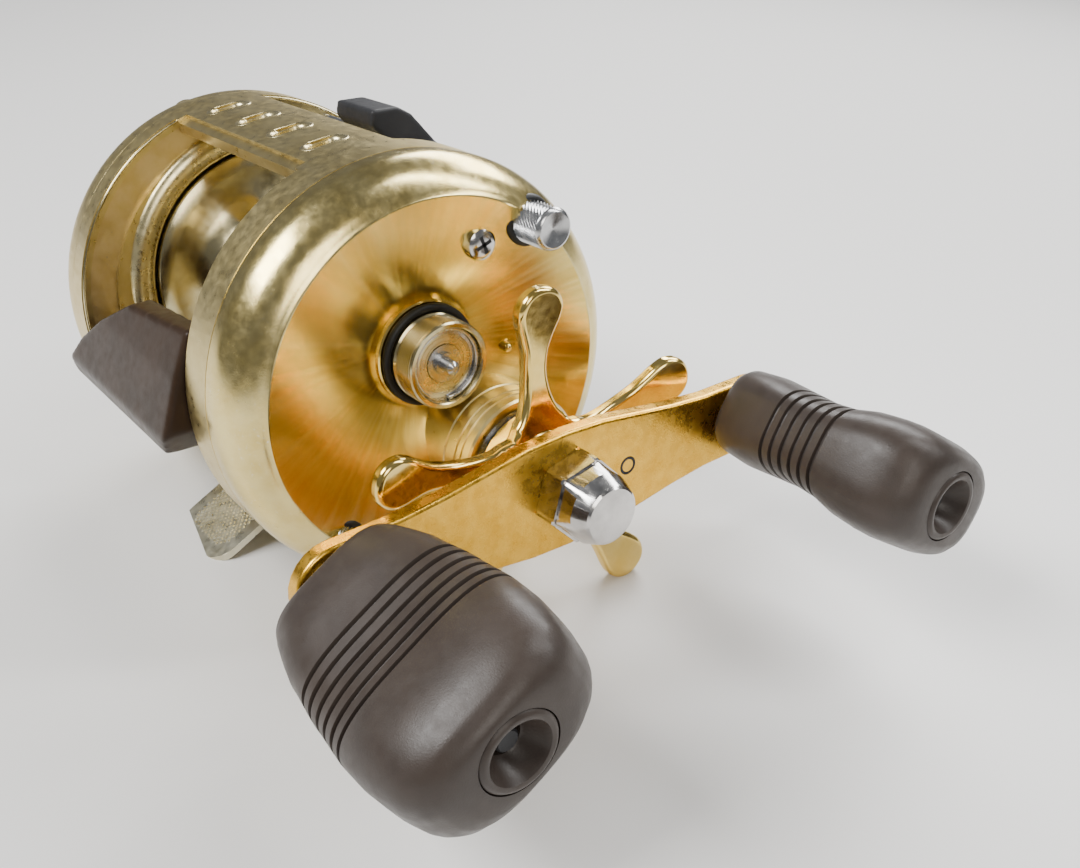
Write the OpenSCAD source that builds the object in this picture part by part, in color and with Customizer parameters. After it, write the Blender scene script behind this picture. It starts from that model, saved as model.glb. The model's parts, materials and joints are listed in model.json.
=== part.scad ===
// Round-profile baitcasting reel, right-hand retrieve, as separate parts.
// Row frame: +X along the spool axis toward the handle, +Y toward the rod
// tip, +Z up from the foot; origin at the middle of the foot's underside.

/* [Frame] */
// Radius of both side plates
plate_radius = 28; // [27:0.1:29.5]
// Height of the plate axis over the foot underside
axis_height = 29.6; // [29.6:0.1:31]
// Distance from the foot centre to the seam of the right cover
seam_offset = 25.7; // [25:0.1:27]
// Clear width of the spool window
window_width = 37.4; // [36:0.2:40]
// Depth of the gear case inside the right ring
case_depth = 5.7; // [5.7:0.1:6.5]
// Wall thickness of the gear case
case_wall = 1; // [0.9:0.05:1.2]
// Thickness of the left frame wall
left_wall = 3.3; // [3.1:0.1:4]
// Radial thickness of the top bridge
bridge_thickness = 2.2; // [1.8:0.1:2.8]
// Angle of the front edge of the bridge
bridge_front_angle = 83; // [80:1:86]
// Angle of the rear edge of the bridge
bridge_rear_angle = 110; // [106:1:114]
// Length of each oval hole in the bridge
bridge_hole_length = 5.7; // [4.5:0.1:6.5]
// Width of each oval hole in the bridge
bridge_hole_width = 2.5; // [2:0.1:3]

/* [Foot] */
// Overall length of the foot along the rod
foot_length = 50; // [48:0.5:54]
// Width of the foot
foot_width = 15; // [13:0.5:17]
// Corner radius of the foot ends
foot_corner = 3.5; // [2:0.5:4]

/* [Spool] */
// Radius of the spool flanges
flange_radius = 18.4; // [17.6:0.1:18.4]
// Radius of the spool arbor
arbor_radius = 9; // [8:0.2:11]
// Radius of the spool shaft
shaft_radius = 1.5; // [1.4:0.05:1.6]
// Spool axis ahead of the plate axis
spool_axis_y = 1.7; // [1.4:0.1:1.8]
// Spool axis above the plate axis
spool_axis_z = 1.7; // [1.6:0.1:2]

/* [Drive] */
// Drive axis ahead of the plate axis
drive_axis_y = 8.35; // [8:0.05:8.6]
// Drive axis below the plate axis
drive_axis_drop = 12.15; // [12:0.05:12.3]
// Teeth on the drive gear
drive_teeth = 42; // [42:1:42]
// Teeth on the pinion
pinion_teeth = 13; // [13:1:13]
// Teeth on the idler gear
idler_teeth = 22; // [22:1:22]
// Teeth on the worm gear
worm_teeth = 10; // [10:1:10]
// Radius of the drive shaft
drive_shaft_radius = 3; // [2.8:0.1:3.2]

/* [Handle] */
// Distance from the drive axis to each knob
handle_reach = 32.55; // [30:0.05:36]
// Thickness of the handle plate
handle_thickness = 2.4; // [2:0.1:3]
// Half width of the handle plate at its middle
handle_half_width = 8.2; // [7.5:0.1:9]
// Half width of the handle plate at its ends
handle_end_radius = 5.4; // [5:0.1:6]
// Length of a knob
knob_length = 32.2; // [30:0.2:36]
// Half width of a knob across its wide way
knob_half_width = 12.2; // [11:0.1:13]
// Half thickness of a knob across its thin way
knob_half_thickness = 7.6; // [7:0.1:8.5]
// Radius of the knob post
post_radius = 2; // [1.8:0.05:2.2]
// Across-flats size of the handle nut
nut_flats = 10; // [9:0.1:11]

/* [Star drag] */
// Tip radius of the star arms
star_radius = 25.8; // [24:0.2:27]
// Radius of each star lobe
lobe_radius = 3.3; // [2.8:0.1:3.8]
// Thickness of the star
star_thickness = 2.4; // [2:0.1:2.8]

/* [Line guide] */
// Worm axis ahead of the plate axis
worm_axis_y = 20.6; // [20.4:0.05:20.8]
// Worm axis above the plate axis
worm_axis_z = 11.6; // [11.4:0.05:11.8]
// Radius of the worm shaft
worm_radius = 1.7; // [1.5:0.05:1.8]
// Width of the line guide
guide_width = 14; // [12:0.5:16]
// Radius of the guide bar
guide_bar_radius = 0.9; // [0.8:0.05:1]

/* [Fits] */
// Radial clearance of turning fits
run_fit = 0.05; // [0.03:0.01:0.08]
// Radial clearance of sliding fits
slide_fit = 0.04; // [0.02:0.01:0.05]
// Radial clearance of loose holes
hole_fit = 0.15; // [0.1:0.01:0.3]

/* [Hidden] */
$fn = 96;
R = plate_radius;
X0 = seam_offset;
Z0 = axis_height;
xw = -case_depth;              // inner face of the right web
xv = xw - window_width;        // inner face of the left wall
xl = xv - left_wall;           // outer face of the left wall
xweb = xw + 0.8;               // gear side of the web
pocket = xw + 0.35;            // floor of the right flange's pocket
Sy = spool_axis_y; Sz = spool_axis_z;
Dy = drive_axis_y; Dz = -drive_axis_drop;
Wy = worm_axis_y; Wz = worm_axis_z;
sd = norm([Dy - Sy, Dz - Sz]);
gm = 2 * sd / (drive_teeth + pinion_teeth);
rd = gm * drive_teeth / 2;
rp = gm * pinion_teeth / 2;
ri = gm * idler_teeth / 2;
rw = gm * worm_teeth / 2;
dw = norm([Dy - Wy, Dz - Wz]);
ia = ((ri + rw) * (ri + rw) - (rd + ri) * (rd + ri) + dw * dw) / (2 * dw);
ih = sqrt(max(0, (ri + rw) * (ri + rw) - ia * ia));
uy = (Dy - Wy) / dw; uz = (Dz - Wz) / dw;
Iy = Wy + ia * uy - ih * uz;
Iz = Wz + ia * uz + ih * uy;
gx0 = xweb + 1.3;              // gear layer
gx1 = gx0 + 1.6;
case_r = R - case_wall;
xc = xw - window_width / 2;    // middle of the window
hx0 = 19.2; hx1 = hx0 + handle_thickness;
kx0 = hx1 + 1.2; kx1 = kx0 + knob_length;
By = 12.9; Bz = 22.9;          // guide bar
open_r = 19;                   // spool opening in the left wall
lx = xl - 0.03;                // seam of the left cover
lx1 = lx - 7.3;                // outer face of the left cover
yoke_y = 7.6; yoke_z = 4.6;    // yoke posts about the spool axis
pin_x = xw + 0.6;              // spool pin
thumb_travel = 3.5;
peg_y = -24.2; peg_z = 2;      // right peg of the thumb bar
lpeg_y = -25.1; lpeg_z = -5.2; // left peg of the thumb bar
pawl_y = -6; pawl_z = -13;     // anti-reverse pawl
pillar_y = 23.1; pillar_z = -10.8;
upper_screw = [14.9, 17.8];
lower_screw = [-16.1, -17.5];
plate_screw = [8.35, 15.9];
left_screw_r = 24.6;
left_screw_turns = [100, 220, 340];
drive_turn = atan2(Sz - Dz, Sy - Dy);
idler_dir = atan2(Iz - Dz, Iy - Dy);
idler_turn = idler_dir + 180 + 180 / idler_teeth
    + (idler_dir - drive_turn) * drive_teeth / idler_teeth;
worm_dir = atan2(Wz - Iz, Wy - Iy);
worm_turn = worm_dir + 180 + 180 / worm_teeth
    + (worm_dir - idler_turn) * idler_teeth / worm_teeth;

function pol(r, a) = [r * cos(a), r * sin(a)];
function invd(a) = tan(a) * 180 / PI - a;

module P() translate([X0, 0, Z0]) children();
module at(y, z) translate([0, y, z]) children();
module cylx(a, b, r) translate([a, 0, 0]) rotate([0, 90, 0]) cylinder(h = b - a, r = r);
module conex(a, b, r1, r2)
    translate([a, 0, 0]) rotate([0, 90, 0]) cylinder(h = b - a, r1 = r1, r2 = r2);
module tubex(a, b, ro, ri_) difference() { cylx(a, b, ro); cylx(a - 1, b + 1, ri_); }
module extx(a, b) translate([a, 0, 0]) rotate([90, 0, 90]) linear_extrude(b - a) children();
module revx(pts) rotate([0, 90, 0]) rotate_extrude() polygon(pts);
module box(x0, x1, y0, y1, z0, z1)
    translate([x0, y0, z0]) cube([x1 - x0, y1 - y0, z1 - z0]);

// spur gear outline: 25 degree pressure angle, stub addendum
module gear2d(z, backlash = 0.05) {
    rpz = gm * z / 2;
    rb = rpz * cos(25);
    rt = rpz + 0.8 * gm;
    rr = rpz - 1.05 * gm;
    bl = backlash / rpz * 90 / PI;
    function half(r) = 90 / z - bl + invd(25) - invd(acos(min(1, rb / r)));
    rs = [for (i = [0:5]) max(rb, rr) + (rt - max(rb, rr)) * i / 5];
    polygon([for (k = [0:z - 1]) let (c = 360 * k / z) each concat(
        [pol(rr, c - half(rs[0]))],
        [for (i = [0:5]) pol(rs[i], c - half(rs[i]))],
        [for (i = [5:-1:0]) pol(rs[i], c + half(rs[i]))],
        [pol(rr, c + half(rs[0]))])]);
}

// slot with round ends, as long as the thumb bar travels
module slot(a, b, y, z, r) {
    for (t = [0, thumb_travel]) at(y, z - t) cylx(a, b, r);
    box(a, b, y - r, y + r, z - thumb_travel, z);
}

module sector(a, b, ro, ri_, t0, t1) intersection() {
    tubex(a, b, ro, ri_);
    extx(a, b) polygon([[0, 0], pol(60, t0), pol(60, (t0 + t1) / 2), pol(60, t1)]);
}

// ---------------------------------------------------------------- frame
module frame() color([0.72, 0.66, 0.45]) P() difference() {
    union() {
        tubex(xw, 0, R, case_r);
        cylx(xw, xweb, R - 0.2);
        difference() {
            cylx(xl, xv, R);
            tubex(xv - 0.7, xv + 1, R - 1.3, 22.9);
        }
        difference() {
            sector(xv - 0.5, xw + 0.3, R, R - bridge_thickness,
                bridge_front_angle, bridge_rear_angle);
            sector(xv + 0.8, xw - 0.8, R + 1, R - 0.5,
                bridge_rear_angle - 3.2, bridge_rear_angle + 2);
        }
        sector(xv - 0.5, xw + 0.3, R, R - 2.4, 239, 301);
        at(Dy, Dz) cylx(xw, gx0 - 0.6, 5.2);
        at(Iy, Iz) {
            cylx(xw, gx1 + 0.3, 1);
            cylx(xw, gx0 - 0.15, 2);
        }
        at(pawl_y, pawl_z) {
            cylx(xw, gx1 + 2, 0.79);
            cylx(xw, gx1 + 0.9, 1.4);
        }
    }
    // oval holes through the bridge
    for (i = [-1.5:1:1.5]) translate([xc + i * window_width / 4, 0, 0]) {
        d = (bridge_hole_length - bridge_hole_width) / 2;
        yb = R * cos(97);
        for (s = [-1, 1]) translate([0, yb + s * d, R - 5])
            cylinder(h = 8, r = bridge_hole_width / 2);
        box(-bridge_hole_width / 2, bridge_hole_width / 2, yb - d, yb + d, R - 5, R + 3);
    }
    at(Sy, Sz) {
        cylx(xl - 1, xv + 1, open_r);
        cylx(xw - 1, xweb + 1, 3.5);
        cylx(xw - 1, pocket, flange_radius + 0.4);
    }
    at(Dy, Dz) cylx(xw - 1, 1, 4);
    at(Wy, Wz) { cylx(xl - 1, xv + 1, 2.4); cylx(xw - 1, 0, 2.4); }
    at(By, Bz) { cylx(xv - 1.5, xv + 1, guide_bar_radius); cylx(xw - 1, xweb, guide_bar_radius); }
    at(pillar_y, pillar_z) { cylx(xv - 1.5, xv + 1, 1.2); cylx(xw - 1, xweb, 1.2); }
    slot(xw - 1, xweb + 1, peg_y, peg_z, 1.3);
    slot(xv - 1.6, xv + 1, lpeg_y, lpeg_z, 0.9);
    for (y = [-yoke_y, yoke_y]) at(Sy + y, Sz + yoke_z) cylx(xw - 1, xweb + 1, 0.75);
    // foot screws
    for (x = [xc - 5, xc + 5]) translate([x, 0, -R - 1]) cylinder(h = 5, r = 1);
    // left cover screws
    for (t = left_screw_turns)
        at(left_screw_r * cos(t), left_screw_r * sin(t)) cylx(xl - 1, xl + 2.2, 0.8);
    // thumbscrews reach the web
    for (p = [upper_screw, lower_screw]) at(p[0], p[1]) cylx(xw - 1, xweb + 1, 0.9);
}

module reel_foot() color([0.78, 0.72, 0.52]) translate([0, 0, Z0]) difference() {
    h = foot_length / 2;
    intersection() {
        extx(-foot_width / 2, foot_width / 2) polygon([
            [-h, -Z0], [-h, -Z0 + 0.2], [-13.9, -23.98], [-12.5, -24.5],
            [12.5, -24.5], [13.9, -23.98], [h, -Z0 + 0.2], [h, -Z0],
            [h - 1.9, -Z0], [14.2, -25.1], [10, -Z0], [-10, -Z0],
            [-14.2, -25.1], [-h + 1.9, -Z0]]);
        translate([0, 0, -Z0 - 1]) linear_extrude(Z0) union() {
            square([foot_width, foot_length - 2 * foot_corner], center = true);
            square([foot_width - 2 * foot_corner, foot_length], center = true);
            for (a = [-1, 1], b = [-1, 1])
                translate([a * (foot_width / 2 - foot_corner), b * (h - foot_corner)])
                    circle(foot_corner);
        }
    }
    translate([X0 + xc, 0, 0]) rotate([0, 90, 0]) cylinder(h = 80, r = R, center = true);
    for (x = [-5, 5]) translate([X0 + xc + x, 0, -Z0 - 1]) cylinder(h = 5, r = 1 + hole_fit);
    for (x = [-5, 5]) translate([X0 + xc + x, 0, -Z0 - 1]) cylinder(h = 1.9, r = 2);
}

module foot_screw(s) color([0.7, 0.7, 0.72]) translate([X0 + xc + s * 5, 0, 0]) {
    translate([0, 0, 0.2]) cylinder(h = 0.7, r = 1.85);
    translate([0, 0, 0.8]) cylinder(h = 3, r = 1 - 0.02);
}
module foot_screws() for (s = [-1, 1]) foot_screw(s);

// ---------------------------------------------------------------- covers
module cover_shape(inset) revx(concat(
    [[0, -9]], [[R - inset, -9], [R - inset, 1.5]],
    [for (i = [1:8]) [R - 6 + (6 - inset) * cos(i * 9.4), 1.5 + (6 - inset) * sin(i * 9.4)]],
    [[0, 1.5 + (6 - inset) * sin(75.2)]]));

module right_side_cover() color([0.85, 0.62, 0.16]) P() difference() {
    union() {
        difference() {
            intersection() { cover_shape(0); cylx(0.03, 12, 40); }
            at(Sy, Sz) conex(-0.22, 7.6, 7, 21.2);
        }
        at(Sy, Sz) cylx(-1.62, 6.13, 5.85);
        at(Dy, Dz) cylx(-0.25, 6.25, 9);
        // inner lip that centres the cover in the gear case
        tubex(-1, 1, case_r - slide_fit, case_r - 0.7);
        intersection() {
            at(Sy, Sz) difference() { conex(-1.62, 7, 7.3, 23); conex(-0.22, 7.6, 7, 21.2); }
            cover_shape(0.6);
        }
        for (p = [upper_screw, lower_screw]) at(p[0], p[1]) intersection() {
            cylx(0.2, 5.2, 3.6);
            at(-p[0], -p[1]) cover_shape(0.6);
        }
        at(plate_screw[0], plate_screw[1]) cylx(0.8, 4, 2.6);
    }
    // hollow
    difference() {
        cover_shape(1.2);
        at(Sy, Sz) conex(-1.62, 7, 7.3, 23);
        at(Sy, Sz) cylx(-9, 9, 7.3);
        at(Dy, Dz) cylx(-0.25, 7, 9);
        for (p = [upper_screw, lower_screw]) at(p[0], p[1]) cylx(0.2, 5.2, 3.6);
        at(plate_screw[0], plate_screw[1]) cylx(0.8, 4, 2.6);
        tubex(-2, 1, R, case_r - 0.7);
    }
    // spool boss bores, and the seat of its two rings
    at(Sy, Sz) {
        cylx(-2, 7, 4.5);
        cylx(1.4, 7, 5);
        tubex(-0.21, 9, 7.3, 5.85);
    }
    // drive bore
    at(Dy, Dz) {
        cylx(-1, 7, 6);
        cylx(-3, 3.6, 7.6);
        cylx(6.26, 9, 9.1);
    }
    // spot faces and thumbscrew bores
    for (p = [upper_screw, lower_screw]) at(p[0], p[1]) {
        cylx(5.2, 9, 3.5);
        cylx(-3, 9, 0.9 + hole_fit);
    }
    at(plate_screw[0], plate_screw[1]) {
        cylx(-1, 9, 0.9);
        cylx(4, 9, 2.4);
    }
    at(13, 0) cylx(1.2, 6, 0.7);
}

module left_side_cover() color([0.8, 0.68, 0.36]) P() difference() {
    union() {
        translate([lx, 0, 0]) mirror([1, 0, 0]) difference() {
            intersection() {
                cover_shape(0);
                cylx(0, 12, 40);
            }
            cover_shape(1.3);
        }
        for (t = left_screw_turns) at(left_screw_r * cos(t), left_screw_r * sin(t))
            cylx(lx - 5.8, lx, 2.7);
    }
    at(Sy, Sz) cylx(lx1 - 2, lx, 3);
    for (t = left_screw_turns) at(left_screw_r * cos(t), left_screw_r * sin(t)) {
        cylx(lx1 - 2, lx + 1, 0.95);
        cylx(lx1 - 2, lx - 4.4, 1.9);
    }
}

// bearing cup pressed in the left cover, with the brake drum round it
module brake_drum() color([0.75, 0.76, 0.78]) P() at(Sy, Sz) difference() {
    union() {
        cylx(lx1 - 0.9, lx1 + 1.32, 3 - 0.01);
        cylx(lx1 + 1.3, lx1 + 2.2, 9);
        tubex(lx1 + 1.3, lx1 + 7.8, 9, 8.2);
        cylx(lx1 + 1.3, lx1 + 4.9, 5);
    }
    cylx(lx1 + 2.2, lx1 + 6, 4);
}

module left_cover_screws() color([0.75, 0.75, 0.78]) P() for (t = left_screw_turns)
    at(left_screw_r * cos(t), left_screw_r * sin(t)) {
        cylx(lx - 5.3, lx - 4.42, 1.75);
        cylx(lx - 4.5, xl + 2, 0.78);
    }

module drive_boss_sleeve() color([0.82, 0.76, 0.52]) P() at(Dy, Dz) difference() {
    union() {
        cylx(6.27, 11.4, 8.9);
        cylx(3.9, 6.4, 6 - 0.01);
    }
    cylx(3, 12, 4);
    cylx(7.2, 12, 7.4);
    for (x = [8.4, 9.6]) tubex(x, x + 0.25, 10, 8.75);
}

module drive_bearing() color([0.8, 0.8, 0.82]) P() at(Dy, Dz)
    tubex(7.25, 10.6, 7.38, drive_shaft_radius + run_fit);

module boss_base_ring() color([0.7, 0.5, 0.2]) P() at(Sy, Sz)
    tubex(-0.18, 0.75, 7.2, 5.87);

module boss_o_ring() color([0.03, 0.03, 0.03]) P() at(Sy, Sz) translate([1.3, 0, 0])
    rotate([0, 90, 0]) rotate_extrude() translate([6.38, 0]) circle(0.52, $fn = 40);

module right_bearing_outer() color([0.8, 0.8, 0.82]) P() at(Sy, Sz) difference() {
    cylx(1.42, 4.9, 4.99);
    cylx(1, 6, 4);
    translate([3.16, 0, 0]) rotate([0, 90, 0]) rotate_extrude() translate([3.25, 0])
        circle(0.95, $fn = 40);
}
module right_bearing_inner() color([0.8, 0.8, 0.82]) P() at(Sy, Sz) difference() {
    cylx(1.42, 4.9, 2.5);
    cylx(1, 6, shaft_radius + 0.01);
    translate([3.16, 0, 0]) rotate([0, 90, 0]) rotate_extrude() translate([3.25, 0])
        circle(0.95, $fn = 40);
}
module right_bearing_balls() color([0.85, 0.85, 0.87]) P() at(Sy, Sz) union() {
    for (i = [0:6]) at(3.25 * cos(i * 360 / 7), 3.25 * sin(i * 360 / 7))
        translate([3.16, 0, 0]) sphere(0.9, $fn = 40);
    tubex(3.06, 3.26, 3.4, 3.1);
}
module bearing_clip() color([0.75, 0.75, 0.78]) P() at(Sy, Sz) translate([5.2, 0, 0])
    rotate([0, 90, 0]) rotate_extrude(angle = 320) translate([4.7, 0]) circle(0.26, $fn = 24);

module left_bearing() color([0.8, 0.8, 0.82]) P() at(Sy, Sz)
    tubex(lx1 + 2.25, lx1 + 4.9, 3.98, shaft_radius + run_fit);

// ---------------------------------------------------------------- spool
sx0 = xv - 1.2;      // left flange outer face
sx1 = xw + 0.1;      // right flange outer face
module spool() color([0.78, 0.66, 0.34]) P() at(Sy, Sz) difference() {
    union() {
        cylx(sx0, sx0 + 1.1, flange_radius);
        cylx(sx1 - 1.1, sx1, flange_radius);
        cylx(sx0, sx1, arbor_radius);
        conex(sx0 + 1, sx0 + 3, arbor_radius + 2.5, arbor_radius);
        conex(sx1 - 3, sx1 - 1, arbor_radius, arbor_radius + 2.5);
        cylx(sx0 - 2.6, sx0 + 1, 3.4);
    }
    cylx(sx0 - 4, sx1 + 3, shaft_radius + 0.01);
    tubex(sx0 - 0.01, sx0 + 10, arbor_radius - 1.2, 3.4);
    tubex(sx1 - 10, sx1 + 0.01, arbor_radius - 1.2, 3.4);
}
module spool_shaft() color([0.8, 0.8, 0.82]) P() at(Sy, Sz) difference() {
    union() {
        cylx(lx1 + 2.3, 5.4, shaft_radius);
        cylx(5.2, 6.9, 0.9);
        conex(6.9, 7.3, 0.9, 0.4);
    }
    translate([pin_x, 0, -4]) cylinder(h = 8, r = 0.45);
}
module spool_pin() color([0.6, 0.6, 0.63]) P() at(Sy, Sz)
    translate([pin_x, 0, -2.8]) cylinder(h = 5.6, r = 0.44);
module brake_hub() color([0.2, 0.2, 0.22]) P() at(Sy, Sz) difference() {
    union() {
        cylx(sx0 - 2.6, sx0 - 1.4, 4.6);
        for (i = [0:3]) rotate([i * 90, 0, 0])
            translate([sx0 - 2.3, 0, 4.2]) cylinder(h = 3.6, r = 0.45);
    }
    cylx(sx0 - 4, sx0 + 1, 3.41);
}
module brake_weight(i) color([0.85, 0.83, 0.75]) P() at(Sy, Sz) rotate([i * 90, 0, 0])
    translate([sx0 - 2.3, 0, 5]) difference() {
        cylinder(h = 2.4, r = 0.95);
        translate([0, 0, -1]) cylinder(h = 5, r = 0.47);
    }
module brake_weights() for (i = [0:3]) brake_weight(i);

// ---------------------------------------------------------------- clutch
module pinion_gear() color([0.8, 0.7, 0.35]) P() at(Sy, Sz) difference() {
    union() {
        cylx(xw + 0.2, xweb + 0.9, 3.1);
        extx(gx0 - 0.35, gx1 + 0.15) rotate(drive_turn + 180 + 180 / pinion_teeth)
            gear2d(pinion_teeth);
        cylx(xweb + 0.1, gx0, 2.3);
    }
    tubex(xweb + 0.2, gx0 - 0.35, 6, 2.3);
    cylx(-9, 9, shaft_radius + 0.08);
    box(xw - 1, pin_x + 0.5, -0.52, 0.52, -4, 4);
}
module pinion_yoke() color([0.8, 0.8, 0.82]) P() at(Sy, Sz) difference() {
    extx(xweb + 0.3, gx0 - 0.45) difference() {
        union() {
            translate([-9, 1.6]) square([18, 4.6]);
            circle(4.4);
        }
        circle(2.45);
        translate([-2.45, -6]) square([4.9, 6]);
        translate([-6, -7]) square([12, 6]);
    }
    for (y = [-yoke_y, yoke_y]) at(y, yoke_z) cylx(-9, 0, 0.74 + slide_fit);
}
module yoke_posts() color([0.7, 0.7, 0.72]) P() for (s = [-1, 1])
    at(Sy + s * yoke_y, Sz + yoke_z) {
        cylx(pocket + 0.02, -1.65, 0.74);
        cylx(-2.1, -1.65, 1.3);
    }
module yoke_springs() color([0.7, 0.7, 0.72]) P() for (s = [-1, 1])
    at(Sy + s * yoke_y, Sz + yoke_z) translate([gx0 - 0.43, 0, 0]) rotate([0, 90, 0])
        linear_extrude(height = -2.12 - (gx0 - 0.43), twist = -1440, slices = 56, $fn = 8)
            translate([1.05, 0]) circle(0.12, $fn = 8);

module thumb_bar() color([0.2, 0.14, 0.1]) P() union() {
    intersection() {
        extx(xv + 0.5, xw - 0.5) polygon([[-23.6, 10.4], [-26.4, 10.2], [-29.4, 4.7],
            [-32.6, -2.6], [-31.6, -5.8], [-24.6, -6.4], [-23.4, -2]]);
        translate([0, -20, 0]) rotate([90, 0, 0]) linear_extrude(20) polygon([
            [xw - 0.5, 10.2], [xc, 8.6], [xc - 8, 4.6], [xc - 14, 0.6],
            [xv + 0.5, -4], [xv + 0.5, -6.4], [xw - 4, -6.4], [xw - 0.5, -2]]);
    }
    at(peg_y, peg_z) cylx(xw - 2.5, gx0 - 0.35, 1.2);
    at(lpeg_y, lpeg_z) cylx(xv - 1.4, xv + 2, 0.8);
}
module clutch_slide() color([0.8, 0.8, 0.82]) P() difference() {
    box(xweb + 0.3, gx0 - 0.45, -25.7, -8, -1.5, 5.5);
    at(peg_y, peg_z) cylx(-9, 0, 1.21);
    box(-9, 0, -12, -7, -3, 1);
}

// ---------------------------------------------------------------- drive train
module drive_gear() color([0.82, 0.66, 0.3]) P() at(Dy, Dz) difference() {
    extx(gx0, gx1) rotate(drive_turn) gear2d(drive_teeth);
    cylx(-9, 0, drive_shaft_radius + 0.01);
    for (i = [0:4]) rotate([i * 72, 0, 0]) at(8, 0) cylx(-9, 0, 1.5);
}
module drag_washers() color([0.75, 0.75, 0.77]) P() at(Dy, Dz)
    for (i = [0, 1]) tubex(gx1 + 0.02 + i * 0.47, gx1 + 0.45 + i * 0.47, 6.4, drive_shaft_radius + 0.1);
module drive_bushing() color([0.7, 0.55, 0.3]) P() at(Dy, Dz)
    tubex(pocket + 0.02, gx0 - 0.65, 3.99, drive_shaft_radius - 1 + run_fit);
module drive_shaft() color([0.8, 0.8, 0.82]) P() at(Dy, Dz) union() {
    cylx(pocket + 0.02, gx0 - 0.45, drive_shaft_radius - 1);
    cylx(gx0 - 0.55, hx0 - 0.02, drive_shaft_radius);
    cylx(gx0 - 0.5, gx0 - 0.02, 5);
    cylx(hx0 - 0.6, hx1 + 5.4, 2.4);
}
module ratchet_wheel() color([0.7, 0.7, 0.72]) P() at(Dy, Dz) difference() {
    extx(gx1 + 0.98, gx1 + 1.5) union() {
        circle(5.6);
        for (i = [0:9]) rotate(i * 36) polygon([[5, -0.6], [7, 0.9], [5, 1.9]]);
    }
    cylx(-9, 3, drive_shaft_radius + 0.01);
}
module anti_reverse_pawl() color([0.72, 0.72, 0.75]) P() difference() {
    extx(gx1 + 1, gx1 + 1.5) translate([pawl_y, pawl_z]) union() {
        circle(1.9);
        polygon([[-0.3, 1.8], [0.8, -1.8], [6.45, -0.6], [6.45, 0.3]]);
    }
    at(pawl_y, pawl_z) cylx(-9, 3, 0.79 + run_fit);
}
module spring_washers() color([0.7, 0.7, 0.72]) P() at(Dy, Dz) difference() {
    union() {
        conex(11.2, 11.7, 5.6, 5.0);
        conex(11.72, 12.22, 5.0, 5.6);
    }
    cylx(9, 13, drive_shaft_radius + 0.15);
}
module drag_nut() color([0.8, 0.66, 0.3]) P() at(Dy, Dz) difference() {
    extx(12.3, 15.2) circle(4.4 / cos(30), $fn = 6);
    cylx(9, 20, drive_shaft_radius + 0.05);
}
module star_drag() color([0.86, 0.63, 0.2]) P() at(Dy, Dz) difference() {
    union() {
        conex(12.3, 14.5, 7.6, 7);
        cylx(14.3, 17.2, 6.2);
        for (i = [0:4]) rotate([90 + i * 72, 0, 0]) extx(14.4, 14.4 + star_thickness) {
            lobe_at = star_radius - lobe_radius;
            polygon([[4, -3.2], [8.5, -1.9], [14, -1.35], [lobe_at - 3, -1.8], [lobe_at, -2.3],
                [lobe_at, 2.3], [lobe_at - 3, 1.8], [14, 1.35], [8.5, 1.9], [4, 3.2]]);
            translate([lobe_at, 0]) circle(lobe_radius);
        }
    }
    extx(11, 15.25) circle(4.45 / cos(30), $fn = 6);
    cylx(9, 20, drive_shaft_radius + 0.15);
}

// ---------------------------------------------------------------- handle
module handle_plate() color([0.88, 0.62, 0.18]) P() at(Dy, Dz) difference() {
    extx(hx0, hx1) union() {
        circle(handle_half_width);
        for (s = [-1, 1]) translate([s * handle_reach, 0]) circle(handle_end_radius);
        polygon([[-handle_reach, -handle_end_radius], [-12, -7.1], [0, -handle_half_width],
            [12, -7.1], [handle_reach, -handle_end_radius], [handle_reach, handle_end_radius],
            [12, 7.1], [0, handle_half_width], [-12, 7.1], [-handle_reach, handle_end_radius]]);
    }
    cylx(hx0 - 1, hx1 + 1, 2.41);
    at(9.7, 0) cylx(hx0 - 1, hx1 + 1, 1);
    for (s = [-1, 1]) at(s * handle_reach, 0) cylx(hx0 - 1, hx1 + 1, post_radius);
}
module handle_nut() color([0.8, 0.8, 0.82]) P() at(Dy, Dz) difference() {
    union() {
        extx(hx1 + 0.02, hx1 + 3.9) circle(nut_flats / 2 / cos(30), $fn = 6);
        conex(hx1 + 3.8, hx1 + 8.3, 4.9, 3.46);
    }
    cylx(hx1 - 1, hx1 + 5.5, 2.42);
}
module post(s) color([0.75, 0.75, 0.77]) P() at(Dy + s * handle_reach, Dz) {
    cylx(hx0 + 0.02, kx1 - 5, post_radius - 0.005);
    cylx(hx1 + 0.01, kx0 - 0.1, post_radius + 1.4);
}
module knob_post_near() post(-1);
module knob_post_far() post(1);

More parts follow.
